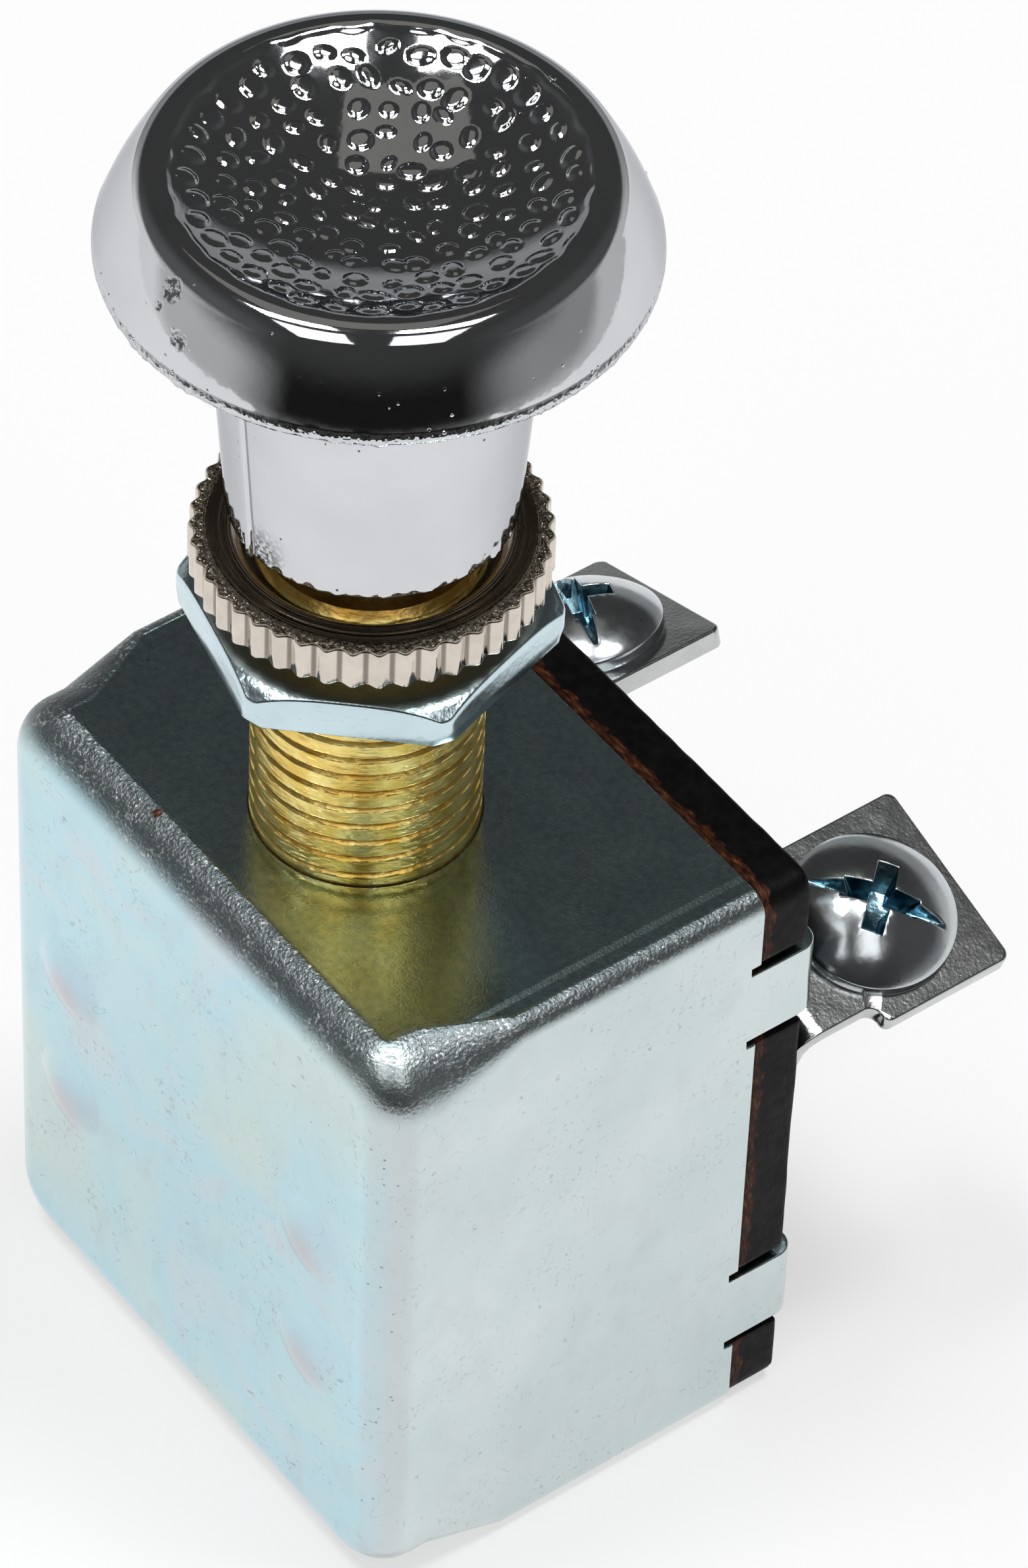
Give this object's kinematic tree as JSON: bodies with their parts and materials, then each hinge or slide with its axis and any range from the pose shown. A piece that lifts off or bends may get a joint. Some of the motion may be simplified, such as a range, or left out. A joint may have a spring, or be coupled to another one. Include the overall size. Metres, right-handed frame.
{
  "type": "push-pull light switch",
  "caption": "Push-pull panel light switch: drawn steel case, threaded brass bushing with panel nuts, chrome mushroom knob on a plunger, and screw terminals on a phenolic board.",
  "frame": {"origin": "on the plunger axis, in the plane of the case's top face where the panel seats", "axes": "+Z along the plunger axis out towards the knob; -Y is the front of the case with the detent dimples; +Y is the terminal side"},
  "size_m": [0.0382, 0.0457, 0.0891],
  "materials": {
    "zinc_case": "zinc plated sheet steel, satin with a faint blue cast",
    "brass_bushing": "machined brass thread",
    "zinc_nut": "blue-white zinc plate",
    "nickel_nut": "nickel plate with a turned face",
    "chrome_knob": "bright chrome on a casting, pitted",
    "shaft_steel": "drawn steel rod",
    "slider_fibre": "brown moulded insulating block",
    "washer_steel": "plain steel",
    "contact_copper": "copper strip",
    "board_phenolic": "black phenolic sheet with sheared brown edges",
    "ball_steel": "polished steel ball",
    "spring_steel": "spring wire",
    "terminal_tin": "dull plated strip",
    "rivet_brass": "brass rivet",
    "screw_zinc": "bright zinc plate"
  },
  "bodies": {
    "housing": {"case": "zinc_case", "bushing": "brass_bushing", "hex_nut": "zinc_nut", "face_nut": "nickel_nut", "terminal_board": "board_phenolic", "terminal_left": "terminal_tin", "terminal_right": "terminal_tin", "terminal_rivet_left": "rivet_brass", "terminal_rivet_right": "rivet_brass", "terminal_screw_left": "screw_zinc", "terminal_screw_right": "screw_zinc"},
    "plunger": {"knob": "chrome_knob", "plunger_shaft": "shaft_steel", "slider": "slider_fibre", "slider_washer": "washer_steel", "contact_bridge": "contact_copper", "detent_spring_left": "spring_steel", "detent_spring_right": "spring_steel"},
    "ball_left": {"detent_ball_left": "ball_steel"},
    "ball_right": {"detent_ball_right": "ball_steel"}
  },
  "joints": [
    {"name": "plunger_pull", "type": "slide", "parent": "housing", "child": "plunger", "axis": [0, 0, 1], "range_m": [0, 0.0095]},
    {"name": "ball_press_left", "type": "slide", "parent": "plunger", "child": "ball_left", "axis": [0, 1, 0], "range_m": [0, 0.0008], "stiffness_N_per_m": 300, "springref_m": -0.003, "deforming": ["detent_spring_left"]},
    {"name": "ball_press_right", "type": "slide", "parent": "plunger", "child": "ball_right", "axis": [0, 1, 0], "range_m": [0, 0.0008], "stiffness_N_per_m": 300, "springref_m": -0.003, "deforming": ["detent_spring_right"]}
  ]
}
